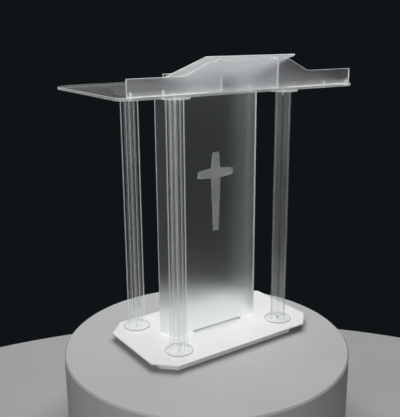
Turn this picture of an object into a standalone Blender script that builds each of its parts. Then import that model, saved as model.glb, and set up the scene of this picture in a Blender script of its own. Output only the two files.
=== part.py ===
"""Presentation lectern of clear, frosted and white acrylic sheet.

The lectern stands on the plane z = 0.  X runs along its front, -Y is the side that the
audience sees, +Y is the speaker's side and +Z is up.  Everything is in metres.
"""
import math

import bmesh
import bpy
from mathutils import Matrix, Vector

# Driving dimensions -----------------------------------------------------------------
FIT_GAP = 0.0003            # air left between two pieces that touch
EDGE = 0.001                # chamfer of the polished sheet edges

PAD_THICKNESS = 0.002
PAD_RADIUS = 0.011
RAIL_HEIGHT = 0.024         # strips of the plinth under the base plate
RAIL_THICKNESS = 0.008
PLINTH_HALF_X = 0.3315
PLINTH_HALF_Y = 0.216
PLINTH_CLIP = 0.054
PLINTH_SHIFT_X = -0.026     # the ring of strips sits off the plate's middle
RIB_X = 0.165
PLATE_THICKNESS = 0.006
PLATE_LENGTH = 0.780
PLATE_DEPTH = 0.465
PLATE_CLIP = 0.075

DISC_RADIUS = 0.056
BASE_DISC_THICKNESS = 0.010
TABLE_DISC_THICKNESS = 0.015
BLADE_WIDTH = 0.077         # each column is a plus sign in plan
BLADE_THICKNESS = 0.008
FRONT_COLUMN = (0.253, -0.138)
BACK_COLUMN = (0.277, 0.1515)

TABLE_HEIGHT = 1.0294       # top face of the table above the floor
TABLE_THICKNESS = 0.010
TABLE_FRONT_Y = -0.257
TABLE_BACK_Y = 0.407
TABLE_HALF_FRONT = 0.533
TABLE_HALF_BACK = 0.4837
TABLE_FRONT_RADIUS = 0.045
TABLE_BACK_RADIUS = 0.100

PANEL_FRONT_Y = -0.038      # front face of the body panel
PANEL_HALF_WIDTH = 0.206
PANEL_THICKNESS = 0.005
PANEL_EDGE = 0.0006
WING_LENGTH = 0.085
WING_ANGLE = math.radians(14)
PANEL_BEND_RADIUS = 0.014   # to the middle of the sheet
FOOT_BAR = (0.240, 0.012, 0.012)

FASCIA_FRONT_Y = -0.249
FASCIA_THICKNESS = 0.008
FASCIA_HALF_LENGTH = 0.500
FASCIA_END_HEIGHT = 0.058
FASCIA_MIDDLE_HEIGHT = 0.1046
FASCIA_SLOPE_FOOT_X = 0.274
FASCIA_SLOPE_TOP_X = 0.176
FASCIA_FILLET = 0.060

READING_WIDTH = 0.402
READING_LENGTH = 0.283
READING_THICKNESS = 0.005
READING_SLOPE = math.radians(16.6)
READING_EDGE_Y = -0.254     # upper front edge of the reading plate
READING_EDGE_Z = 1.1495
STOP_THICKNESS = 0.005
STOP_RISE = 0.013           # how far the book stop stands above the reading plate

GUSSET_X = 0.1285
GUSSET_THICKNESS = 0.008
GUSSET_REAR_Y = 0.0

CROSS_THICKNESS = 0.002
CROSS_EDGE = 0.0004
CROSS_CENTRE_X = -0.004
CROSS_CENTRE_Z = 0.693      # above the floor
CROSS_UP = 0.082
CROSS_DOWN = 0.235
CROSS_ARM = 0.085
CROSS_HUB_X = 0.022         # half widths where the stem and the arms meet
CROSS_HUB_Z = 0.0197
CROSS_TOP_HALF = 0.0145
CROSS_FOOT_HALF = 0.012
CROSS_ARM_HALF = 0.0118

SHANK_RADIUS = 0.002
HEAD_RADIUS = 0.0042
HEAD_THICKNESS = 0.0028
COLUMN_SCREW_GRIP = 0.015   # length of a column screw inside the column
FASCIA_SCREW_LENGTH = 0.020
FASCIA_SCREW_X = (-0.485, -0.364, 0.0, 0.364, 0.485)

# Heights and places that follow from them ---------------------------------------------
BASE_TOP = PAD_THICKNESS + RAIL_HEIGHT + PLATE_THICKNESS
PLATE_BOTTOM = BASE_TOP - PLATE_THICKNESS
TABLE_BOTTOM = TABLE_HEIGHT - TABLE_THICKNESS
COLUMN_FOOT = BASE_TOP + BASE_DISC_THICKNESS + FIT_GAP
COLUMN_HEAD = TABLE_BOTTOM - TABLE_DISC_THICKNESS - FIT_GAP
FASCIA_MIDDLE_Y = FASCIA_FRONT_Y + FASCIA_THICKNESS / 2
COLUMNS = {
    "front_left": (-FRONT_COLUMN[0], FRONT_COLUMN[1]),
    "front_right": (FRONT_COLUMN[0], FRONT_COLUMN[1]),
    "back_left": (-BACK_COLUMN[0], BACK_COLUMN[1]),
    "back_right": (BACK_COLUMN[0], BACK_COLUMN[1]),
}

ARC_STEPS = 10
DISC_SIDES = 48
HOLE_SIDES = 16


# Scene, collections and materials -----------------------------------------------------
def clear_scene():
    for obj in list(bpy.data.objects):
        bpy.data.objects.remove(obj, do_unlink=True)


def new_collection(name):
    collection = bpy.data.collections.new(name)
    bpy.context.scene.collection.children.link(collection)
    return collection


def new_material(name, colour, roughness, metallic=0.0, transmission=0.0):
    material = bpy.data.materials.new(name)
    material.use_nodes = True
    shader = material.node_tree.nodes["Principled BSDF"]
    shader.inputs["Base Color"].default_value = (*colour, 1.0)
    shader.inputs["Roughness"].default_value = roughness
    shader.inputs["Metallic"].default_value = metallic
    shader.inputs["Transmission Weight"].default_value = transmission
    material.diffuse_color = (*colour, 1.0)
    return material


clear_scene()
PARTS = new_collection("presentation_lectern")
CUTTERS = new_collection("lectern_cutters")
CLEAR = new_material("clear_acrylic", (0.90, 0.92, 0.92), 0.04, transmission=0.9)
FROSTED = new_material("frosted_acrylic", (0.80, 0.82, 0.83), 0.45, transmission=0.6)
WHITE = new_material("white_acrylic", (0.86, 0.86, 0.85), 0.15)
CROSS_WHITE = new_material("cross_acrylic", (0.88, 0.89, 0.90), 0.55)
STEEL = new_material("screw_steel", (0.62, 0.62, 0.63), 0.25, metallic=1.0)
RUBBER = new_material("pad_rubber", (0.05, 0.05, 0.05), 0.8)


# Shape helpers -------------------------------------------------------------------------
def add_object(name, mesh, material, collection=PARTS):
    obj = bpy.data.objects.new(name, mesh)
    collection.objects.link(obj)
    if material is not None:
        mesh.materials.clear()
        mesh.materials.append(material)
    else:
        obj.hide_render = True
        obj.display_type = "WIRE"
    return obj


def chamfer(obj, width=EDGE):
    bevel = obj.modifiers.new("polished_edges", "BEVEL")
    bevel.width = width
    bevel.segments = 1
    bevel.limit_method = "ANGLE"
    bevel.angle_limit = math.radians(30.0)
    return bevel


def box(name, size, centre, material, width=EDGE):
    """A cuboid strip with chamfered edges."""
    mesh = bpy.data.meshes.new(name)
    shape = bmesh.new()
    bmesh.ops.create_cube(shape, size=1.0)
    bmesh.ops.scale(shape, vec=Vector(size), verts=shape.verts)
    shape.to_mesh(mesh)
    shape.free()
    obj = add_object(name, mesh, material)
    obj.location = centre
    if width:
        chamfer(obj, width)
    return obj


def cylinder(name, radius, height, centre, material, sides, width=EDGE):
    """An upright round disc with chamfered rims."""
    mesh = bpy.data.meshes.new(name)
    shape = bmesh.new()
    bmesh.ops.create_cone(shape, cap_ends=True, segments=sides, radius1=radius,
                          radius2=radius, depth=height)
    shape.to_mesh(mesh)
    shape.free()
    mesh.shade_smooth()
    mesh.set_sharp_from_angle(angle=math.radians(40.0))
    obj = add_object(name, mesh, material)
    obj.location = centre
    chamfer(obj, width)
    return obj


def rounded(corners):
    """Outline points of a polygon of (x, y, radius) corners, with each corner as an arc."""
    points = []
    for index, (x, y, radius) in enumerate(corners):
        corner = Vector((x, y))
        before = (Vector(corners[index - 1][:2]) - corner).normalized()
        after = (Vector(corners[(index + 1) % len(corners)][:2]) - corner).normalized()
        if radius == 0.0:
            points.append(corner)
            continue
        half_angle = before.angle(after) / 2
        reach = radius / math.tan(half_angle)
        centre = corner + (before + after).normalized() * (radius / math.sin(half_angle))
        start = corner + before * reach - centre
        end = corner + after * reach - centre
        sweep = start.angle_signed(end)
        for step in range(ARC_STEPS + 1):
            turn = -sweep * step / ARC_STEPS
            points.append(centre + Matrix.Rotation(turn, 2) @ start)
    return points


def sheet(name, points, thickness, location, rotation, material, width=EDGE):
    """A flat sheet cut to an outline, extruded to both sides of the outline's plane."""
    curve = bpy.data.curves.new(name + "_outline", "CURVE")
    curve.dimensions = "2D"
    curve.fill_mode = "BOTH"
    curve.extrude = thickness / 2
    spline = curve.splines.new("POLY")
    spline.points.add(len(points) - 1)
    for point, (x, y) in zip(spline.points, points):
        point.co = (x, y, 0.0, 1.0)
    spline.use_cyclic_u = True
    outline = bpy.data.objects.new(name + "_outline", curve)
    outline.location = location
    outline.rotation_euler = rotation
    CUTTERS.objects.link(outline)
    bpy.context.view_layer.update()

    evaluated = outline.evaluated_get(bpy.context.evaluated_depsgraph_get())
    mesh = bpy.data.meshes.new_from_object(evaluated)
    mesh.name = name
    shape = bmesh.new()
    shape.from_mesh(mesh)
    bmesh.ops.remove_doubles(shape, verts=shape.verts, dist=0.00001)
    bmesh.ops.dissolve_limit(shape, angle_limit=0.001, verts=shape.verts, edges=shape.edges)
    shape.to_mesh(mesh)
    shape.free()
    obj = add_object(name, mesh, material)
    obj.matrix_world = outline.matrix_world.copy()
    bpy.data.objects.remove(outline, do_unlink=True)
    chamfer(obj, width)
    return obj


def turned(name, profile, place, material, collection=PARTS):
    """A body of revolution from (radius, height) points that run from top to bottom."""
    line = bpy.data.meshes.new(name)
    points = [(radius, 0.0, height) for radius, height in profile]
    edges = [(index, index + 1) for index in range(len(points) - 1)]
    line.from_pydata(points, edges, [])
    obj = add_object(name, line, material, collection)
    obj.location = place
    screw = obj.modifiers.new("turn", "SCREW")
    screw.axis = "Z"
    screw.angle = math.tau
    screw.steps = HOLE_SIDES
    screw.render_steps = HOLE_SIDES
    screw.use_merge_vertices = True
    screw.merge_threshold = 0.00001
    return obj


def cut(obj, cutters):
    """Takes the cutters' volumes out of the object, after its edges are chamfered."""
    for cutter in cutters:
        boolean = obj.modifiers.new("cut_" + cutter.name, "BOOLEAN")
        boolean.operation = "DIFFERENCE"
        boolean.solver = "EXACT"
        boolean.object = cutter


def screw_profile(top, bottom, head_at_top, clearance=0.0):
    """Half section of a flat-headed screw between two heights."""
    shank = SHANK_RADIUS + clearance
    head = HEAD_RADIUS + clearance
    top += clearance
    bottom -= clearance
    if head_at_top:
        neck = top - HEAD_THICKNESS - 2 * clearance
        return [(0.0, top), (head, top), (head, neck), (shank, neck), (shank, bottom),
                (0.0, bottom)]
    neck = bottom + HEAD_THICKNESS + 2 * clearance
    return [(0.0, top), (shank, top), (shank, neck), (head, neck), (head, bottom),
            (0.0, bottom)]


# Base ------------------------------------------------------------------------------------
def octagon(half_x, half_y, clip):
    return [
        (half_x - clip, -half_y), (half_x, clip - half_y),
        (half_x, half_y - clip), (half_x - clip, half_y),
        (clip - half_x, half_y), (-half_x, half_y - clip),
        (-half_x, clip - half_y), (clip - half_x, -half_y),
    ]


def build_base(column_holes):
    plate = sheet("base_plate", octagon(PLATE_LENGTH / 2, PLATE_DEPTH / 2, PLATE_CLIP),
                  PLATE_THICKNESS, (0, 0, BASE_TOP - PLATE_THICKNESS / 2), (0, 0, 0), WHITE)
    cut(plate, column_holes.values())
    build_plinth()
    build_pads()


def build_plinth():
    """Eight strips mitred into a ring, and two ribs across it."""
    names = ["right_front_corner", "right", "right_back_corner", "back",
             "left_back_corner", "left", "left_front_corner", "front"]
    outer = octagon(PLINTH_HALF_X, PLINTH_HALF_Y, PLINTH_CLIP)
    inset = RAIL_THICKNESS
    inner_clip = PLINTH_CLIP - inset * (2 - math.sqrt(2))
    inner = octagon(PLINTH_HALF_X - inset, PLINTH_HALF_Y - inset, inner_clip)
    height = RAIL_HEIGHT - 2 * FIT_GAP
    middle = PAD_THICKNESS + RAIL_HEIGHT / 2
    for index, name in enumerate(names):
        after = (index + 1) % len(outer)
        along = (Vector(outer[after]) - Vector(outer[index])).normalized() * FIT_GAP / 2
        outline = [
            Vector(outer[index]) + along, Vector(outer[after]) - along,
            Vector(inner[after]) - along, Vector(inner[index]) + along,
        ]
        sheet("plinth_rail_" + name, outline, height, (PLINTH_SHIFT_X, 0, middle),
              (0, 0, 0), WHITE)
    depth = 2 * (PLINTH_HALF_Y - RAIL_THICKNESS - FIT_GAP)
    for side, x in (("left", -RIB_X), ("right", RIB_X)):
        box("plinth_rib_" + side, (RAIL_THICKNESS, depth, height),
            (PLINTH_SHIFT_X + x, 0, middle), WHITE)


def build_pads():
    """Non-slip pads under the ring, at its corners and the middles of its long sides."""
    inset = RAIL_THICKNESS + PAD_RADIUS
    far_x = PLINTH_HALF_X - PLINTH_CLIP / 2 - inset / 2
    far_y = PLINTH_HALF_Y - PLINTH_CLIP / 2 - inset / 2
    near_y = PLINTH_HALF_Y - PAD_RADIUS
    places = {
        "front_left": (-far_x, -far_y), "front_right": (far_x, -far_y),
        "back_left": (-far_x, far_y), "back_right": (far_x, far_y),
        "front_middle": (0.0, -near_y), "back_middle": (0.0, near_y),
    }
    for name, (x, y) in places.items():
        cylinder("foot_pad_" + name, PAD_RADIUS, PAD_THICKNESS,
                 (PLINTH_SHIFT_X + x, y, PAD_THICKNESS / 2), RUBBER, sides=24, width=0.0003)


# Columns -----------------------------------------------------------------------------------
def build_columns(base_holes, table_holes):
    """Each column is one blade along X, two fins along Y and a round disc at each end."""
    length = COLUMN_HEAD - COLUMN_FOOT
    middle = (COLUMN_HEAD + COLUMN_FOOT) / 2
    fin = (BLADE_WIDTH - BLADE_THICKNESS) / 2 - FIT_GAP
    fin_offset = BLADE_THICKNESS / 2 + FIT_GAP + fin / 2
    base_disc = BASE_DISC_THICKNESS - FIT_GAP
    table_disc = TABLE_DISC_THICKNESS - FIT_GAP
    for name, (x, y) in COLUMNS.items():
        blade = box(f"column_{name}_blade", (BLADE_WIDTH, BLADE_THICKNESS, length),
                    (x, y, middle), CLEAR)
        cut(blade, [base_holes[name], table_holes[name]])
        for side, direction in (("front", -1), ("back", 1)):
            box(f"column_{name}_{side}_fin", (BLADE_THICKNESS, fin, length),
                (x, y + direction * fin_offset, middle), CLEAR)
        foot = cylinder(f"base_disc_{name}", DISC_RADIUS, base_disc,
                        (x, y, BASE_TOP + FIT_GAP + base_disc / 2), CLEAR, DISC_SIDES)
        cut(foot, [base_holes[name]])
        head = cylinder(f"table_disc_{name}", DISC_RADIUS, table_disc,
                        (x, y, TABLE_BOTTOM - FIT_GAP - table_disc / 2), CLEAR, DISC_SIDES)
        cut(head, [table_holes[name]])


def build_column_screws():
    """Screws along the columns' axes: up through the base plate, down through the table.

    Returns the holes that they need, one for each end of each column.
    """
    base_top = COLUMN_FOOT + COLUMN_SCREW_GRIP
    base_bottom = PLATE_BOTTOM - HEAD_THICKNESS - FIT_GAP
    table_bottom = COLUMN_HEAD - COLUMN_SCREW_GRIP
    base_holes = {}
    table_holes = {}
    for name, (x, y) in COLUMNS.items():
        place = (x, y, 0.0)
        turned("base_screw_" + name, screw_profile(base_top, base_bottom, False),
               place, STEEL)
        turned("table_screw_" + name, screw_profile(TABLE_HEIGHT, table_bottom, True),
               place, STEEL)
        base_holes[name] = turned(
            "base_hole_" + name, screw_profile(base_top, base_bottom, False, FIT_GAP),
            place, None, CUTTERS)
        table_holes[name] = turned(
            "table_hole_" + name, screw_profile(TABLE_HEIGHT, table_bottom, True, FIT_GAP),
            place, None, CUTTERS)
    return base_holes, table_holes


# Body panel ----------------------------------------------------------------------------------
def panel_path():
    """Plan of the middle of the body sheet: left wing, front, right wing, with round bends."""
    half = PANEL_THICKNESS / 2
    y = PANEL_FRONT_Y + half
    x = PANEL_HALF_WIDTH - half * math.tan((math.pi / 2 - WING_ANGLE) / 2)
    wing = Vector((math.sin(WING_ANGLE), math.cos(WING_ANGLE))) * WING_LENGTH
    bend = math.pi / 2 - WING_ANGLE
    reach = PANEL_BEND_RADIUS * math.tan(bend / 2)
    centre = Vector((x - reach, y + PANEL_BEND_RADIUS))
    right = []
    for step in range(ARC_STEPS + 1):
        turn = bend * step / ARC_STEPS
        right.append(centre + PANEL_BEND_RADIUS * Vector((math.sin(turn), -math.cos(turn))))
    right.append(Vector((x, y)) + wing)
    left = [Vector((-point.x, point.y)) for point in reversed(right)]
    return left + right


def build_panel():
    low = BASE_TOP + FIT_GAP
    high = TABLE_BOTTOM - FIT_GAP
    mesh = bpy.data.meshes.new("body_panel")
    shape = bmesh.new()
    previous = None
    for point in panel_path():
        current = [shape.verts.new((point.x, point.y, z)) for z in (low, high)]
        if previous:
            shape.faces.new((previous[0], current[0], current[1], previous[1]))
        previous = current
    shape.to_mesh(mesh)
    shape.free()
    mesh.shade_smooth()
    panel = add_object("body_panel", mesh, FROSTED)
    solid = panel.modifiers.new("sheet_thickness", "SOLIDIFY")
    solid.thickness = PANEL_THICKNESS
    solid.offset = 0.0
    solid.use_even_offset = True
    chamfer(panel, PANEL_EDGE)

    length, depth, height = FOOT_BAR
    box("panel_foot_bar", (length, depth, height),
        (0, PANEL_FRONT_Y - FIT_GAP - depth / 2, low + height / 2), CLEAR)


def build_cross():
    """A cross whose arms widen towards its middle, laid on the front of the panel."""
    right = [
        (CROSS_TOP_HALF, CROSS_UP), (CROSS_HUB_X, CROSS_HUB_Z),
        (CROSS_ARM, CROSS_ARM_HALF), (CROSS_ARM, -CROSS_ARM_HALF),
        (CROSS_HUB_X, -CROSS_HUB_Z), (CROSS_FOOT_HALF, -CROSS_DOWN),
    ]
    left = [(-x, z) for x, z in reversed(right)]
    y = PANEL_FRONT_Y - FIT_GAP - CROSS_THICKNESS / 2
    sheet("panel_cross", right + left, CROSS_THICKNESS, (CROSS_CENTRE_X, y, CROSS_CENTRE_Z),
          (math.pi / 2, 0, 0), CROSS_WHITE, CROSS_EDGE)


# Table and what stands on it -------------------------------------------------------------------
def build_table(column_holes, fascia_holes):
    corners = [
        (-TABLE_HALF_FRONT, TABLE_FRONT_Y, TABLE_FRONT_RADIUS),
        (TABLE_HALF_FRONT, TABLE_FRONT_Y, TABLE_FRONT_RADIUS),
        (TABLE_HALF_BACK, TABLE_BACK_Y, TABLE_BACK_RADIUS),
        (-TABLE_HALF_BACK, TABLE_BACK_Y, TABLE_BACK_RADIUS),
    ]
    table = sheet("table_top", rounded(corners), TABLE_THICKNESS,
                  (0, 0, TABLE_HEIGHT - TABLE_THICKNESS / 2), (0, 0, 0), CLEAR)
    cut(table, column_holes.values())
    cut(table, fascia_holes)


def build_fascia(holes):
    """The upright front board: low at both ends, raised in front of the reading plate."""
    right = [
        (FASCIA_HALF_LENGTH, 0.0, 0.0), (FASCIA_HALF_LENGTH, FASCIA_END_HEIGHT, 0.0),
        (FASCIA_SLOPE_FOOT_X, FASCIA_END_HEIGHT, FASCIA_FILLET),
        (FASCIA_SLOPE_TOP_X, FASCIA_MIDDLE_HEIGHT, 0.0),
    ]
    left = [(-x, z, radius) for x, z, radius in reversed(right)]
    fascia = sheet("fascia", rounded(right + left), FASCIA_THICKNESS,
                   (0, FASCIA_MIDDLE_Y, TABLE_HEIGHT + FIT_GAP), (math.pi / 2, 0, 0), FROSTED)
    cut(fascia, holes)


def build_fascia_screws():
    """Screws up through the table into the foot of the fascia, and the holes they need."""
    top = TABLE_BOTTOM + FASCIA_SCREW_LENGTH
    holes = []
    for index, x in enumerate(FASCIA_SCREW_X, start=1):
        place = (x, FASCIA_MIDDLE_Y, 0.0)
        turned(f"fascia_screw_{index}", screw_profile(top, TABLE_BOTTOM, False), place, STEEL)
        holes.append(turned(f"fascia_hole_{index}",
                            screw_profile(top, TABLE_BOTTOM, False, FIT_GAP),
                            place, None, CUTTERS))
    return holes


def plate_underside(y):
    drop = math.tan(READING_SLOPE) * (y - READING_EDGE_Y)
    return READING_EDGE_Z - drop - READING_THICKNESS / math.cos(READING_SLOPE)


def build_reading_desk():
    """The sloping plate, its book stop and the two gussets that carry it."""
    slope = bpy.data.objects.new("reading_slope", None)
    slope.location = (0, READING_EDGE_Y, READING_EDGE_Z)
    slope.rotation_euler = (-READING_SLOPE, 0, 0)
    PARTS.objects.link(slope)
    plate = box("reading_plate", (READING_WIDTH, READING_LENGTH, READING_THICKNESS),
                (0, READING_LENGTH / 2, -READING_THICKNESS / 2), FROSTED)
    plate.parent = slope
    height = READING_THICKNESS + STOP_RISE
    stop = box("book_stop", (READING_WIDTH, STOP_THICKNESS, height),
               (0, READING_LENGTH + FIT_GAP + STOP_THICKNESS / 2,
                height / 2 - READING_THICKNESS), CLEAR)
    stop.parent = slope

    front = FASCIA_FRONT_Y + FASCIA_THICKNESS + FIT_GAP
    low = TABLE_HEIGHT + FIT_GAP
    outline = [
        (front, low), (GUSSET_REAR_Y, low),
        (GUSSET_REAR_Y, plate_underside(GUSSET_REAR_Y) - FIT_GAP),
        (front, plate_underside(front) - FIT_GAP),
    ]
    for side, x in (("left", -GUSSET_X), ("right", GUSSET_X)):
        sheet("gusset_" + side, outline, GUSSET_THICKNESS, (x, 0, 0),
              (math.pi / 2, 0, math.pi / 2), FROSTED)


def centre_depth():
    """Slide everything along Y so that the origin lies under the middle of the whole lectern."""
    shift = -(TABLE_FRONT_Y + TABLE_BACK_Y) / 2
    for collection in (PARTS, CUTTERS):
        for obj in collection.objects:
            if obj.parent is None:
                obj.location.y += shift


def main():
    base_holes, table_holes = build_column_screws()
    fascia_holes = build_fascia_screws()
    build_base(base_holes)
    build_columns(base_holes, table_holes)
    build_panel()
    build_cross()
    build_table(table_holes, fascia_holes)
    build_fascia(fascia_holes)
    build_reading_desk()
    centre_depth()


main()
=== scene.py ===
"""Looks of the presentation lectern: clear, frosted and white acrylic on a pale floor."""
import math

import bmesh
import bpy
from mathutils import Matrix, Vector


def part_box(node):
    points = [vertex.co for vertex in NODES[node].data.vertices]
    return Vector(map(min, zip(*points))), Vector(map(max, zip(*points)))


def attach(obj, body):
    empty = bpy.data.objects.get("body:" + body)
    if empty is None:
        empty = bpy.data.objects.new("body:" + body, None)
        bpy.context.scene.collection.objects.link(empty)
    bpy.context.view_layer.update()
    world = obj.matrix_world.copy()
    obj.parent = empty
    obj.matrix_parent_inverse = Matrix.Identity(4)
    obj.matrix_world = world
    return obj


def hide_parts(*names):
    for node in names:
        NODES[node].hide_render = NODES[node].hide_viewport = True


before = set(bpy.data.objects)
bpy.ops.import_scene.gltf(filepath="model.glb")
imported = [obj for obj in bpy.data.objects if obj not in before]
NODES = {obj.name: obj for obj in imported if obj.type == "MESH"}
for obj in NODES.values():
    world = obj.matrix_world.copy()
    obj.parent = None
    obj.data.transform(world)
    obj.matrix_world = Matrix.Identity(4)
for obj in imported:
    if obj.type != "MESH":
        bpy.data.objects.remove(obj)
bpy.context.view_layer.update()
X, Y, Z = (1.0, 0.0, 0.0), (0.0, 1.0, 0.0), (0.0, 0.0, 1.0)

# Camera --------------------------------------------------------------------------------
CAMERA_PLACE = Vector((-1.46736, -2.12236, 1.21585))
CAMERA_YAW = 0.604317                   # turned from +Y towards +X
CAMERA_PITCH = 0.263009                 # below the horizon
CAMERA_ROLL = -0.007665
CAMERA_LENS = 55.36
CAMERA_NEAR = 0.05
SENSOR = 36.0

# Floor, room and lamps -----------------------------------------------------------------
FLOOR_RADIUS = 0.575
FLOOR_THICKNESS = 0.42
FLOOR_EDGE = 0.006
FLOOR_CENTRE = (-0.075, -0.145)
ROOM_FLOOR_DROP = 0.42                  # the round stage stands on a wider floor
ROOM_FLOOR_RADIUS = 2.6
ROOM_FLOOR_CENTRE = (-0.895, -1.451)
FLOOR_SIDES = 160
WELD = 0.00001                          # points closer than this are joined
ROOM = (0.0050, 0.0070, 0.0080)
LAMPS = [
    # name, place, aims at, width, height, power, colour
    ("top_softbox", (0.5, 0.6, 2.8), (0.05, 0.0, 0.2), 3.0, 3.0, 104.0, (1.0, 1.0, 1.0)),
    ("key_softbox", (-2.5, -0.9, 2.2), (0.0, -0.1, 0.7), 1.2, 1.6, 12.0, (1.0, 0.995, 0.98)),
    ("fill_softbox", (-2.3, -2.7, 1.0), (0.0, -0.2, 0.3), 2.6, 2.0, 40.0, (1.0, 0.995, 0.985)),
]
BOUNCES = 32                            # light crosses many sheets one behind another
TRANSMISSION_BOUNCES = 28
TRANSPARENT_BOUNCES = 48

# Faces and edges of sheets ---------------------------------------------------------------
READING_RISE = math.radians(16.6)       # slope of the reading plate
# Angles from X of the normals of the panel's wings and of the facets of its bends.
PANEL_TURNS = [math.radians(angle) for angle in (14.0, 33.0, 52.0, 71.0)]
# How squarely a surface looks along the normal of its sheet's broad faces: from an edge to a
# broad face, and from a sawn edge to its chamfer.
BROAD = (0.86, 0.93)
CHAMFER = (0.55, 0.62)

# Acrylic ---------------------------------------------------------------------------------
ACRYLIC_IOR = 1.49
CLEAR_SHADE = (0.97, 0.975, 0.975)      # a lamp's light left after each surface it crosses
DISC_SHADE = (0.995, 0.995, 0.995)
FROSTED_SHADE = (0.875, 0.875, 0.873)
FACE_CLEAR = (0.988, 0.992, 0.991)      # what a broad face lets through
EDGE_CLEAR = (0.975, 0.98, 0.98)        # what an edge lets through where it isn't lit
RIM_CLEAR = (0.95, 0.955, 0.955)
# painted dark reflection of the dark room in a disc's upper rim
RIM_PAINTED_REFLECTION = (0.27, 0.28, 0.28)
LIT_EDGE = (0.95, 0.97, 0.97)
LIT_RIM = (0.97, 0.98, 0.98)
LIT_BEND = (0.90, 0.92, 0.93)
SHADED_EDGE_LIGHT = (0.38, 0.39, 0.39)           # painted edge light, dimmer, for the right-hand columns on which less light falls; pale on dark and dark on white
WHITE = (1.0, 1.0, 1.0)
FROSTED_COLOURS = ((0.86, 0.88, 0.885), (0.90, 0.912, 0.915))
READING_COLOURS = ((0.63, 0.64, 0.655), (0.67, 0.68, 0.695))
FASCIA_COLOURS = ((0.90, 0.915, 0.945), (0.94, 0.95, 0.975))
FROSTED_ROUGHNESS = (0.282, 0.298)
GLOSS_ROUGHNESS = (0.03, 0.10)
GLOSS_POWER = 5.0                       # how suddenly gloss grows towards a grazing view
GLOSS_STRAIGHT = 0.04                   # its share, seen straight on
GLOSS_GRAZING = 0.95                    # what a grazing view adds to it
RIM_GLOSS_STRAIGHT = 0.02
RIM_GLOSS_GRAZING = 0.5
BAR_GLOSS = 0.04
# how suddenly the veil of dust and painted sheen grows towards a grazing view
PAINTED_SHEEN_POWER = 3.0
SMUDGED = 0.25                          # smudges change the veil by this part, up and down
PANEL_HAZE = 0.006                      # share of light that a frosted sheet scatters back
FASCIA_HAZE = 0.022

# Light in joints, bends and feet ---------------------------------------------------------
SEAM_REACH = 0.0016                     # half the width of a cemented joint's line of light
SEAM_CORE = 0.4                         # the part of a reach in which the light is full
FIN_JOINT = 0.02                        # half the width at which fins meet their blade
FIN_JOINT_SHARE = 0.35                  # light left in the edges there
FASCIA_COVERED = 0.18                   # half the width that the reading plate covers
FASCIA_COVERED_SHARE = 0.2
FASCIA_GLOW = 0.10                      # share of light in its level and sloping edges
FASCIA_END_GLOW = 0.8                   # and in its upright ends,
FASCIA_ENDS = (0.75, 0.85)              # which look this squarely along X
FASCIA_FOOT_REACH = 0.024               # height in which painted light grows towards the fascia's foot
FASCIA_FOOT_SHARE = 0.2
SCREW_STREAK = 0.0035                   # half the width of the light around a screw
SCREW_STREAK_TOP = 4.0 * SCREW_STREAK   # height above the foot up to which it is full
SCREW_STREAK_END = 5.0 * SCREW_STREAK   # and where it is gone
PANEL_END = 0.0015                      # thickness of the lit back ends of the wings
BEND_GLOW = 0.7
BEND_START = (0.40, 0.68)               # how squarely a bend looks along X where it lights up
BEND_END = (0.88, 0.95)                 # and where its light fades, towards the wing
LEFT_BEND_SHARE = 0.1                   # the left bend shows this part of the right one's glow
RIM_REFLECTION_BAND = 0.002                   # height of the band of painted dark reflection under a disc's upper rim
RIM_FRONT = (-0.2, 0.2)                 # normals along Y between a disc's front and back
RIM_BACK_REFLECTION_SHARE = 0.4                    # the back shows this part of the front's painted dark reflection
RIM_WALL_GLOW = 0.3

# Screws ----------------------------------------------------------------------------------
AROUND = 24                             # points around a screw
HEAD_THICKNESS = 0.0028
HEAD_ROUND = 0.0008
HEAD_ROUND_STEP = 0.3                   # the rounding bulges through this part of its size
SOCKET_RADIUS = 0.0019
SOCKET_DEPTH = 0.0016
THREAD_PITCH = 0.001
THREAD_ROWS = 4                         # rings of points in each turn of the thread
THREAD_ROOT = 0.0015
THREAD_CREST = 0.002
TIP_RADIUS = 0.8 * THREAD_ROOT
TIP_HEIGHT = 0.3 * THREAD_PITCH


def middle(node):
    """The middle of a node's box."""
    low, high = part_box(node)
    return (low + high) / 2


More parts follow.
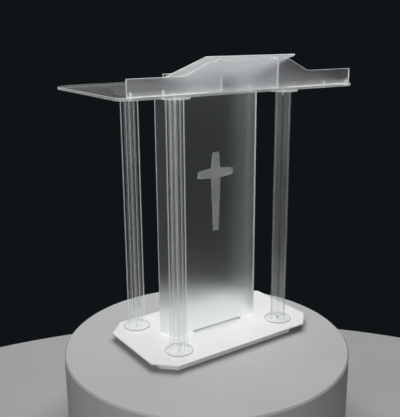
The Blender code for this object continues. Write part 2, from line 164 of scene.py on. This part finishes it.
# Shader node helper ------------------------------------------------------------------------
class Shader:
    """A material that is built one node at a time."""

    def __init__(self, name):
        self.material = bpy.data.materials.new(name)
        self.material.use_nodes = True
        self.tree = self.material.node_tree
        self.tree.nodes.clear()
        self.output = self.tree.nodes.new("ShaderNodeOutputMaterial")

    def node(self, kind, settings=None, **sockets):
        """A new node; its sockets' names are written with _ for a space."""
        node = self.tree.nodes.new("ShaderNode" + kind)
        for key, value in (settings or {}).items():
            setattr(node, key, value)
        for key, value in sockets.items():
            self.feed(node.inputs[key.replace("_", " ")], value)
        return node

    def bsdf(self, kind, **sockets):
        return self.node("Bsdf" + kind, **sockets).outputs["BSDF"]

    def feed(self, socket, value):
        """Links a socket to another node's output, or sets it.  A colour has three numbers."""
        if isinstance(value, bpy.types.NodeSocket):
            self.tree.links.new(value, socket)
        elif socket.type == "RGBA":
            socket.default_value = (*value, 1.0)
        else:
            socket.default_value = value

    def place(self, stretch):
        """The place on the object, with each axis multiplied by a number."""
        coordinates = self.node("TexCoord")
        mapping = self.node("Mapping", Vector=coordinates.outputs["Object"])
        mapping.inputs["Scale"].default_value = stretch
        return mapping.outputs["Vector"]

    def part_of(self, axis, coordinates="Object"):
        """A place, or a direction where the coordinates are Normal, along one axis."""
        found = self.node("TexCoord").outputs[coordinates]
        return self.node("SeparateXYZ", Vector=found).outputs[axis]

    def noise(self, scale, detail=2.0, roughness=0.5, distortion=0.0, stretch=(1.0, 1.0, 1.0)):
        texture = self.node("TexNoise", Vector=self.place(stretch), Scale=scale, Detail=detail,
                            Roughness=roughness, Distortion=distortion)
        return texture.outputs["Fac"]

    def span(self, value, low, high, start=0.3, end=0.7):
        """Runs from low to high while a value runs from start to end, and stops there."""
        remap = self.node("MapRange", {"clamp": True}, Value=value)
        for key, number in zip(("From Min", "From Max", "To Min", "To Max"),
                               (start, end, low, high)):
            remap.inputs[key].default_value = number
        return remap.outputs["Result"]

    def tint(self, value, colour_a, colour_b, start=0.3, end=0.7):
        """Runs from one colour to another as span does from number to number."""
        ramp = self.node("ValToRGB", Fac=value)
        for stop, place, colour in zip(ramp.color_ramp.elements, (start, end),
                                       (colour_a, colour_b)):
            stop.position = place
            stop.color = (*colour, 1.0)
        return ramp.outputs["Color"]

    def math(self, operation, first, second=0.0):
        node = self.node("Math", {"operation": operation})
        self.feed(node.inputs[0], first)
        self.feed(node.inputs[1], second)
        return node.outputs["Value"]

    def bump(self, height, strength, distance):
        node = self.node("Bump", Height=height, Strength=strength, Distance=distance)
        return node.outputs["Normal"]

    def mix(self, factor, first, second):
        node = self.node("MixShader")
        self.feed(node.inputs[0], factor)
        self.feed(node.inputs[1], first)
        self.feed(node.inputs[2], second)
        return node.outputs["Shader"]

    def along(self, direction):
        """How far a surface faces along a direction or against it, from 0 to 1."""
        dot = self.node("VectorMath", {"operation": "DOT_PRODUCT"})
        self.feed(dot.inputs[0], self.node("TexCoord").outputs["Normal"])
        self.feed(dot.inputs[1], direction)
        return self.math("ABSOLUTE", dot.outputs["Value"])

    def past(self, axis, value):
        """1 where the place along an axis is past a value."""
        return self.math("GREATER_THAN", self.part_of(axis), value)

    def ramp(self, axis, start, end):
        """Runs from 0 at the start to 1 at the end of a stretch of an axis."""
        return self.span(self.part_of(axis), 0.0, 1.0, start, end)

    def beside(self, axis, places, reach):
        """1 at each of some places along an axis, falling to 0 within a reach of it."""
        here = self.part_of(axis)
        gaps = [self.math("ABSOLUTE", self.math("SUBTRACT", here, place)) for place in places]
        nearest = gaps[0]
        for gap in gaps[1:]:
            nearest = self.math("MINIMUM", nearest, gap)
        return self.span(nearest, 1.0, 0.0, reach * SEAM_CORE, reach)

    def masks(self, normals, end=None):
        """1 on the narrow edges of a sheet and 1 on their chamfers; the normals are those of
        its broad faces.  end is a depth (y) past which everything counts as an edge."""
        facing = self.along(normals[0])
        for normal in normals[1:]:
            facing = self.math("MAXIMUM", facing, self.along(normal))
        edge = self.span(facing, 1.0, 0.0, *BROAD)
        chamfer = self.math("MULTIPLY", edge, self.span(facing, 0.0, 1.0, *CHAMFER))
        if end is not None:
            edge = self.math("MAXIMUM", edge, self.past("Y", end))
        return edge, chamfer

    def grazing(self, power, straight, added):
        """A share that grows by a power from straight on to a grazing view."""
        facing = self.node("LayerWeight", Blend=0.5).outputs["Facing"]
        share = self.math("MULTIPLY", self.math("POWER", facing, power), added)
        return self.math("ADD", share, straight)

    def finish(self, surface, shade=None):
        """shade is what a lamp's light is multiplied by on its way through."""
        if shade is not None:
            path = self.node("LightPath")
            clear = self.bsdf("Transparent", Color=shade)
            surface = self.mix(path.outputs["Is Shadow Ray"], surface, clear)
        self.tree.links.new(surface, self.output.inputs["Surface"])
        return self.material


# Parts of materials ------------------------------------------------------------------------
def lit_edge(shader, colour=LIT_EDGE):
    """The light that gathers in a polished edge."""
    waves = shader.noise(30.0)
    return shader.bsdf("Principled", IOR=ACRYLIC_IOR, Base_Color=colour,
                       Roughness=shader.span(waves, 0.22, 0.40))


def gloss(shader, smudge, roughness=GLOSS_ROUGHNESS):
    """A mirror that smudges make a little dull."""
    return shader.bsdf("Anisotropic", Color=WHITE, Roughness=shader.span(smudge, *roughness))


def edged(shader, body, normals, glow, line, end=None, joint=None, edge_colour=LIT_EDGE):
    """A sheet's body, with its sawn edges and their polished chamfers.

    glow is the share of light in the edges and line the share in the chamfers.  joint is
    (axis, middle, reach, share): the edges within reach of the middle are cemented to another
    sheet, and only that share of their light is left.
    """
    edge, chamfer = shader.masks(normals, end)
    lit = lit_edge(shader, edge_colour)
    flat = shader.bsdf("Transparent", Color=EDGE_CLEAR)
    share = shader.math("MAXIMUM", shader.math("MULTIPLY", chamfer, line), glow)
    if joint is not None:
        axis, centre, reach, left = joint
        outer = shader.math("MAXIMUM", shader.past(axis, centre + reach),
                            shader.math("SUBTRACT", 1.0, shader.past(axis, centre - reach)))
        share = shader.math("MULTIPLY", share, shader.span(outer, left, 1.0, 0.0, 1.0))
    return shader.mix(edge, body, shader.mix(share, flat, lit))


def frost(shader, haze, colours):
    """The body of a frosted sheet, which blurs what is behind it."""
    cloud = shader.noise(5.0, 3.0, 0.55)
    grain = shader.noise(420.0, 2.0, 0.6)
    return shader.bsdf(
        "Principled", IOR=ACRYLIC_IOR, Transmission_Weight=1.0 - haze,
        Base_Color=shader.tint(cloud, *colours),
        Roughness=shader.span(cloud, *FROSTED_ROUGHNESS),
        Normal=shader.bump(grain, 0.03, 0.0002))


def lit_bends(shader, body):
    """A sheet's body with the light that gathers in its two bends."""
    across = shader.along(X)
    bend = shader.math("MULTIPLY", shader.span(across, 0.0, BEND_GLOW, *BEND_START),
                       shader.span(across, 1.0, 0.0, *BEND_END))
    side = shader.span(shader.past("X", 0.0), LEFT_BEND_SHARE, 1.0, 0.0, 1.0)
    return shader.mix(shader.math("MULTIPLY", bend, side), body, lit_edge(shader, LIT_BEND))


def lit_foot(shader, body, height, screws):
    """A sheet's body, with painted light that grows towards a foot at a height and around its
    screws.
    """
    low = shader.ramp("Z", height + FASCIA_FOOT_REACH, height)
    streaks = shader.math(
        "MULTIPLY", shader.beside("X", screws, SCREW_STREAK),
        shader.ramp("Z", height + SCREW_STREAK_END, height + SCREW_STREAK_TOP))
    share = shader.math("MULTIPLY", shader.math("POWER", low, 2.0), FASCIA_FOOT_SHARE)
    share = shader.math("MAXIMUM", share, streaks)
    return shader.mix(share, body, lit_edge(shader))


# Materials ---------------------------------------------------------------------------------
def clear_sheet(name, normals, veil=0.02, grazing_veil=0.15, glow=0.12, line=0.9, joint=None,
                seam=None, edge_colour=LIT_EDGE):
    """Flat clear sheet: what is behind shows unbent, under a gloss and a thin veil of dust and
    painted sheen, which grows towards a grazing view.

    seam is (place, share): a cemented joint catches that share of light along x at a place.
    """
    shader = Shader(name)
    smudge = shader.noise(6.0, 4.0, 0.6, 0.5)
    streak = shader.noise(9.0, 3.0, 0.6, 0.0, (1.0, 1.0, 0.25))
    # Dust and painted sheen: a pale layer whose share grows towards a grazing view.
    dust_and_sheen = shader.grazing(
        PAINTED_SHEEN_POWER, shader.span(smudge, veil * (1.0 - SMUDGED), veil * (1.0 + SMUDGED)),
        grazing_veil)
    clear = shader.bsdf("Transparent", Color=FACE_CLEAR)
    dust_and_sheen_layer = shader.bsdf(
        "Principled", Roughness=0.6,
        Base_Color=shader.tint(streak, (0.86, 0.88, 0.88), (0.95, 0.96, 0.96)))
    body = shader.mix(dust_and_sheen, clear, dust_and_sheen_layer)
    mirrored = shader.grazing(GLOSS_POWER, GLOSS_STRAIGHT, GLOSS_GRAZING)
    body = shader.mix(mirrored, body, gloss(shader, smudge))
    if seam is not None:
        place, share = seam
        caught = shader.math("MULTIPLY", shader.beside("X", [place], SEAM_REACH), share)
        body = shader.mix(caught, body, lit_edge(shader))
    surface = edged(shader, body, normals, glow, line, joint=joint, edge_colour=edge_colour)
    return shader.finish(surface, CLEAR_SHADE)


def frosted_sheet(name, normals, haze, glow, line=0.9, colours=FROSTED_COLOURS):
    """Flat frosted sheet with sawn edges."""
    shader = Shader(name)
    body = frost(shader, haze, colours)
    return shader.finish(edged(shader, body, normals, glow, line), FROSTED_SHADE)


def panel_acrylic(name):
    """Frosted sheet with both sides bent back."""
    shader = Shader(name)
    turned = [(math.cos(turn), side * math.sin(turn), 0.0)
              for turn in PANEL_TURNS for side in (-1.0, 1.0)]
    body = lit_bends(shader, frost(shader, PANEL_HAZE, FROSTED_COLOURS))
    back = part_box("body_panel")[1].y
    surface = edged(shader, body, [Y] + turned, glow=0.5, line=0.9, end=back - PANEL_END)
    return shader.finish(surface, FROSTED_SHADE)


def fascia_acrylic(name):
    """Frosted sheet with light around its screws.  The reading plate lies over its middle."""
    shader = Shader(name)
    screws = [middle(node).x for node in NODES if node.startswith("fascia_screw")]
    body = frost(shader, FASCIA_HAZE, FASCIA_COLOURS)
    body = lit_foot(shader, body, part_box("fascia")[0].z, screws)
    glow = shader.span(shader.along(X), FASCIA_GLOW, FASCIA_END_GLOW, *FASCIA_ENDS)
    surface = edged(shader, body, [Y], glow, line=0.8,
                    joint=("X", 0.0, FASCIA_COVERED, FASCIA_COVERED_SHARE))
    return shader.finish(surface, FROSTED_SHADE)


def disc_acrylic(name):
    """A clear round plate.  Its upper rim is tinted dark as a painted reflection of the dark
    room, most of all towards the front, and its wall catches a little light."""
    shader = Shader(name)
    smudge = shader.noise(12.0, 3.0, 0.6, 0.4)
    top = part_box("base_disc_front_left")[1].z
    edge, chamfer = shader.masks([Z])
    clear = shader.bsdf(
        "Transparent",
        Color=shader.tint(smudge, (0.985, 0.987, 0.987), (0.995, 0.996, 0.996)))
    wall = shader.bsdf("Transparent", Color=RIM_CLEAR)
    # Painted dark reflection of the dark room in the upper rim, strongest towards the front.
    painted_dark = shader.bsdf("Transparent", Color=RIM_PAINTED_REFLECTION)
    upward = shader.math("GREATER_THAN", shader.part_of("Z", "Normal"), 0.0)
    front = shader.span(shader.part_of("Y", "Normal"), 1.0, RIM_BACK_REFLECTION_SHARE, *RIM_FRONT)
    reflection_band = shader.math("MULTIPLY", shader.past("Z", top - RIM_REFLECTION_BAND), front)
    chamfer = shader.math("MAXIMUM", chamfer, reflection_band)
    upward = shader.math("MAXIMUM", upward, reflection_band)
    rim = shader.mix(shader.math("MULTIPLY", upward, front), wall, painted_dark)
    side = shader.mix(RIM_WALL_GLOW, wall, lit_edge(shader, LIT_RIM))
    body = shader.mix(edge, clear, shader.mix(chamfer, side, rim))
    mirrored = shader.grazing(GLOSS_POWER, RIM_GLOSS_STRAIGHT, RIM_GLOSS_GRAZING)
    return shader.finish(shader.mix(mirrored, body, gloss(shader, smudge)), DISC_SHADE)


def foot_bar_acrylic(name):
    """A clear square bar, whose upper half is tinted dark as a painted reflection of the dark
    room.
    """
    shader = Shader(name)
    smudge = shader.noise(20.0, 3.0, 0.6)
    upper = shader.past("Z", middle("panel_foot_bar").z)
    clear = shader.bsdf("Transparent", Color=(0.985, 0.985, 0.985))
    # Painted dark reflection of the dark room on the bar's upper half.
    painted_dark = shader.bsdf(
        "Transparent", Color=shader.tint(smudge, (0.62, 0.63, 0.63), (0.68, 0.68, 0.69)))
    body = shader.mix(upper, clear, painted_dark)
    surface = shader.mix(BAR_GLOSS, body, gloss(shader, smudge, (0.05, 0.12)))
    return shader.finish(surface, CLEAR_SHADE)


def white_acrylic(name, albedo):
    shader = Shader(name)
    cloud = shader.noise(4.0, 4.0, 0.6)
    waves = shader.noise(26.0)
    body = shader.bsdf(
        "Principled", IOR=ACRYLIC_IOR, Roughness=shader.span(cloud, 0.16, 0.24),
        Base_Color=shader.tint(cloud, (albedo - 0.02, albedo - 0.015, albedo - 0.02),
                               (albedo + 0.02, albedo + 0.02, albedo + 0.015)),
        Normal=shader.bump(waves, 0.05, 0.0006))
    return shader.finish(body)


def cross_acrylic(name):
    shader = Shader(name)
    cloud = shader.noise(22.0, 3.0, 0.6)
    grain = shader.noise(500.0, 2.0, 0.6)
    body = shader.bsdf(
        "Principled", IOR=ACRYLIC_IOR, Transmission_Weight=0.945,
        Base_Color=shader.tint(cloud, (0.86, 0.88, 0.90), (0.93, 0.94, 0.95)),
        Roughness=shader.span(cloud, 0.38, 0.46),
        Normal=shader.bump(grain, 0.1, 0.0003))
    return shader.finish(body, FROSTED_SHADE)


def screw_steel(name):
    shader = Shader(name)
    turning = shader.noise(180.0, 3.0, 0.6, 0.0, (1.0, 1.0, 8.0))
    body = shader.bsdf(
        "Principled", Metallic=0.6, Roughness=shader.span(turning, 0.28, 0.42),
        Base_Color=shader.tint(turning, (0.80, 0.80, 0.81), (0.92, 0.92, 0.92)),
        Normal=shader.bump(turning, 0.12, 0.0002))
    return shader.finish(body)


def pad_rubber(name):
    shader = Shader(name)
    grain = shader.noise(240.0, 4.0, 0.7)
    body = shader.bsdf(
        "Principled", Roughness=shader.span(grain, 0.65, 0.9),
        Base_Color=shader.tint(grain, (0.03, 0.03, 0.03), (0.06, 0.06, 0.06)),
        Normal=shader.bump(grain, 0.4, 0.0003))
    return shader.finish(body)


def floor_paint(name):
    shader = Shader(name)
    cloud = shader.noise(2.2, 4.0, 0.6)
    grain = shader.noise(70.0, 3.0, 0.6)
    body = shader.bsdf(
        "Principled", Roughness=shader.span(cloud, 0.55, 0.7),
        Base_Color=shader.tint(cloud, (0.395, 0.40, 0.40), (0.435, 0.44, 0.435)),
        Normal=shader.bump(grain, 0.06, 0.0008))
    return shader.finish(body)


# Which node gets which material ------------------------------------------------------------
def blade_looks():
    """The columns' full-width blades: the right-hand ones get dimmer painted edge light, as less
    light falls on them.
    """
    left_front = middle("column_front_left_blade").x
    left_back = middle("column_back_left_blade").x
    return {
        "front_left_blade": clear_sheet("front_left_blade_clear", [Y, Z], glow=0.35,
                                        seam=(left_front, 0.8)),
        "back_left_blade": clear_sheet("back_left_blade_clear", [Y, Z], veil=0.012, glow=0.3,
                                       seam=(left_back, 0.35)),
        "right_blade": clear_sheet("right_blade_clear", [Y, Z], veil=0.026, glow=0.28,
                                   line=0.6, edge_colour=SHADED_EDGE_LIGHT),
    }


def fin_looks():
    """The columns' fins, which are cemented to the blades."""
    front = ("Y", middle("column_front_left_blade").y, FIN_JOINT, FIN_JOINT_SHARE)
    back = ("Y", middle("column_back_left_blade").y, FIN_JOINT, FIN_JOINT_SHARE)
    return {
        "front_left_fin": clear_sheet("front_left_fin_clear", [X, Z], glow=0.16, line=0.8,
                                      joint=front),
        # The right-hand fins get the dimmer painted edge light too, as less light falls on them.
        "front_right_fin": clear_sheet("front_right_fin_clear", [X, Z], veil=0.026, glow=0.16,
                                       line=0.5, joint=front, edge_colour=SHADED_EDGE_LIGHT),
        "back_left_fin": clear_sheet("back_left_fin_clear", [X, Z], veil=0.012, glow=0.1,
                                     line=0.7, joint=back),
        "back_right_fin": clear_sheet("back_right_fin_clear", [X, Z], glow=0.16, line=0.5,
                                      joint=back, edge_colour=SHADED_EDGE_LIGHT),
    }


def head_looks():
    """The table and what stands on it."""
    slope = (0.0, math.sin(READING_RISE), math.cos(READING_RISE))
    down_slope = (0.0, math.cos(READING_RISE), -math.sin(READING_RISE))
    return {
        "table": clear_sheet("table_clear", [Z], veil=0.025, grazing_veil=0.10, glow=0.42,
                             line=0.8),
        "fascia": fascia_acrylic("fascia_frosted"),
        "gusset": frosted_sheet("gusset_frosted", [X], haze=0.01, glow=0.4, line=0.35),
        "reading": frosted_sheet("reading_frosted", [slope], haze=0.015, glow=0.6,
                                 colours=READING_COLOURS),
        "stop": clear_sheet("stop_clear", [down_slope], veil=0.01, glow=0.5),
    }


def body_looks():
    """The base, what stands on it, and the plates at the ends of the columns."""
    return {
        "disc": disc_acrylic("disc_clear"),
        "top_disc": clear_sheet("top_disc_clear", [Z], glow=0.35, line=0.8),
        "panel": panel_acrylic("panel_frosted"),
        "bar": foot_bar_acrylic("foot_bar_clear"),
        "cross": cross_acrylic("cross_milky"),
        "white": white_acrylic("base_white", 0.81),
        # The plinth's white is a little darker than the base plate's: painted shade under the
        # plate's overhang.
        "plinth": white_acrylic("plinth_white", 0.80),
        "steel": screw_steel("screw_bright_steel"),
        "rubber": pad_rubber("pad_black_rubber"),
    }


LOOK_OF_START = {
    "base_disc": "disc", "base_plate": "white", "body_panel": "panel", "book_stop": "stop",
    "fascia": "fascia", "foot_pad": "rubber", "gusset": "gusset", "panel_cross": "cross",
    "panel_foot_bar": "bar", "plinth": "plinth", "reading_plate": "reading",
    "table_disc": "top_disc", "table_top": "table",
}


def look_of(node):
    """The look of a node: screws and columns by their words, the others by their start."""
    if "screw" in node:
        return "steel"
    if node.endswith("right_blade"):
        return "right_blade"
    if node.startswith("column"):
        words = node.split("_")
        return "_".join([words[1], words[2], words[-1]])
    return next(look for start, look in LOOK_OF_START.items() if node.startswith(start))


def dress_nodes():
    """Gives each node its material, and returns the screws' steel."""
    looks = {**blade_looks(), **fin_looks(), **head_looks(), **body_looks()}
    for name, node in NODES.items():
        for slot in node.material_slots:
            slot.material = looks[look_of(name)]
    return looks["steel"]


# Screws ------------------------------------------------------------------------------------
def rings_to_mesh(name, rings, first, last):
    """A closed turned surface through rings of points, with a point at each end."""
    shape = bmesh.new()
    rows = [[shape.verts.new(point) for point in ring] for ring in rings]
    for row, after in zip(rows, rows[1:]):
        for index in range(AROUND):
            beside = (index + 1) % AROUND
            shape.faces.new((row[index], row[beside], after[beside], after[index]))
    for row, point in ((rows[0], first), (rows[-1], last)):
        tip = shape.verts.new(point)
        for index in range(AROUND):
            shape.faces.new((row[index], row[(index + 1) % AROUND], tip))
    bmesh.ops.recalc_face_normals(shape, faces=shape.faces)
    mesh = bpy.data.meshes.new(name)
    shape.to_mesh(mesh)
    shape.free()
    return mesh


def build_screw(node, head_up, steel):
    """A socket screw with a helical thread, in the place of a plain one."""
    low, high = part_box(node)
    length = high.z - low.z
    head_radius = (high.x - low.x) / 2
    angles = [math.tau * step / AROUND for step in range(AROUND)]

    def ring(radius_at, depth):
        return [Vector((radius_at(angle) * math.cos(angle), radius_at(angle) * math.sin(angle),
                        -depth)) for angle in angles]

    def round_ring(radius, depth):
        return ring(lambda angle: radius, depth)

    def hexagon(angle):
        return SOCKET_RADIUS / math.cos((angle % (math.pi / 3)) - math.pi / 6)

    def thread(depth):
        def radius_at(angle):
            phase = (depth / THREAD_PITCH - angle / math.tau) % 1.0
            return THREAD_ROOT + (THREAD_CREST - THREAD_ROOT) * (1.0 - abs(2.0 * phase - 1.0))
        return radius_at

    rings = [
        ring(hexagon, SOCKET_DEPTH),
        ring(hexagon, 0.0),
        round_ring(head_radius - HEAD_ROUND, 0.0),
        round_ring(head_radius - HEAD_ROUND_STEP * HEAD_ROUND, HEAD_ROUND_STEP * HEAD_ROUND),
        round_ring(head_radius, HEAD_ROUND),
        round_ring(head_radius, HEAD_THICKNESS),
    ]
    depth = HEAD_THICKNESS
    while depth < length - THREAD_PITCH:
        rings.append(ring(thread(depth), depth))
        depth += THREAD_PITCH / THREAD_ROWS
    rings.append(round_ring(TIP_RADIUS, length - TIP_HEIGHT))
    mesh = rings_to_mesh("screw_" + node, rings, Vector((0.0, 0.0, -SOCKET_DEPTH)),
                         Vector((0.0, 0.0, -length)))
    mesh.materials.append(steel)
    screw = bpy.data.objects.new("detailed_" + node, mesh)
    screw.location = ((low.x + high.x) / 2, (low.y + high.y) / 2, high.z if head_up else low.z)
    if not head_up:
        screw.rotation_euler = (math.pi, 0.0, 0.0)
    bpy.context.scene.collection.objects.link(screw)
    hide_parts(node)
    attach(screw, "root")


def build_screws(steel):
    for node in NODES:
        if "screw" in node:
            build_screw(node, node.startswith("table_screw"), steel)


# Stage -------------------------------------------------------------------------------------
def build_room_floor():
    """The wider floor that the stage stands on."""
    mesh = bpy.data.meshes.new("room_floor")
    shape = bmesh.new()
    bmesh.ops.create_circle(shape, cap_ends=True, segments=FLOOR_SIDES, radius=ROOM_FLOOR_RADIUS)
    shape.to_mesh(mesh)
    shape.free()
    floor = bpy.data.objects.new("room_floor", mesh)
    floor.location = (*ROOM_FLOOR_CENTRE, -ROOM_FLOOR_DROP)
    mesh.materials.append(floor_paint("room_floor_paint"))
    bpy.context.scene.collection.objects.link(floor)


def build_floor():
    """The round stage, turned from half of its outline."""
    mesh = bpy.data.meshes.new("floor")
    shape = bmesh.new()
    outline = [
        (0.0, 0.0), (FLOOR_RADIUS - FLOOR_EDGE, 0.0), (FLOOR_RADIUS, -FLOOR_EDGE),
        (FLOOR_RADIUS, -FLOOR_THICKNESS), (0.0, -FLOOR_THICKNESS),
    ]
    points = [shape.verts.new((radius, 0.0, height)) for radius, height in outline]
    edges = [shape.edges.new(pair) for pair in zip(points, points[1:])]
    bmesh.ops.spin(shape, geom=points + edges, axis=(0, 0, 1), cent=(0, 0, 0),
                   angle=math.tau, steps=FLOOR_SIDES)
    bmesh.ops.remove_doubles(shape, verts=shape.verts, dist=WELD)
    bmesh.ops.recalc_face_normals(shape, faces=shape.faces)
    shape.to_mesh(mesh)
    shape.free()
    floor = bpy.data.objects.new("floor", mesh)
    floor.location = (*FLOOR_CENTRE, 0.0)
    mesh.materials.append(floor_paint("floor_paint"))
    bpy.context.scene.collection.objects.link(floor)


def build_room():
    world = bpy.data.worlds.new("dark_room")
    world.use_nodes = True
    background = world.node_tree.nodes["Background"]
    background.inputs["Color"].default_value = (*ROOM, 1.0)
    background.inputs["Strength"].default_value = 1.0
    bpy.context.scene.world = world


def build_lamps():
    for name, place, aim, width, height, power, colour in LAMPS:
        data = bpy.data.lights.new(name, "AREA")
        data.shape = "RECTANGLE"
        data.size = width
        data.size_y = height
        data.energy = power
        data.color = colour
        lamp = bpy.data.objects.new(name, data)
        lamp.location = place
        lamp.rotation_euler = (Vector(aim) - Vector(place)).to_track_quat("-Z", "Y").to_euler()
        lamp.visible_camera = False
        bpy.context.scene.collection.objects.link(lamp)


def build_camera():
    """A camera turned by its yaw, pitch and roll."""
    data = bpy.data.cameras.new("camera")
    data.lens = CAMERA_LENS
    data.sensor_width = SENSOR
    data.clip_start = CAMERA_NEAR
    camera = bpy.data.objects.new("camera", data)
    forward = Vector((math.sin(CAMERA_YAW) * math.cos(CAMERA_PITCH),
                      math.cos(CAMERA_YAW) * math.cos(CAMERA_PITCH),
                      -math.sin(CAMERA_PITCH)))
    level = Vector((math.cos(CAMERA_YAW), -math.sin(CAMERA_YAW), 0.0))
    upright = level.cross(forward)
    right = math.cos(CAMERA_ROLL) * level + math.sin(CAMERA_ROLL) * upright
    up = math.cos(CAMERA_ROLL) * upright - math.sin(CAMERA_ROLL) * level
    turn = Matrix((right, up, -forward)).transposed()
    camera.matrix_world = Matrix.Translation(CAMERA_PLACE) @ turn.to_4x4()
    bpy.context.scene.collection.objects.link(camera)
    bpy.context.scene.camera = camera


def set_light():
    """Plain colours, and enough bounces for light to cross every sheet."""
    scene = bpy.context.scene
    scene.view_settings.view_transform = "Standard"
    scene.cycles.max_bounces = BOUNCES
    scene.cycles.transmission_bounces = TRANSMISSION_BOUNCES
    scene.cycles.transparent_max_bounces = TRANSPARENT_BOUNCES


build_screws(dress_nodes())
build_floor()
build_room_floor()
build_room()
build_lamps()
build_camera()
set_light()
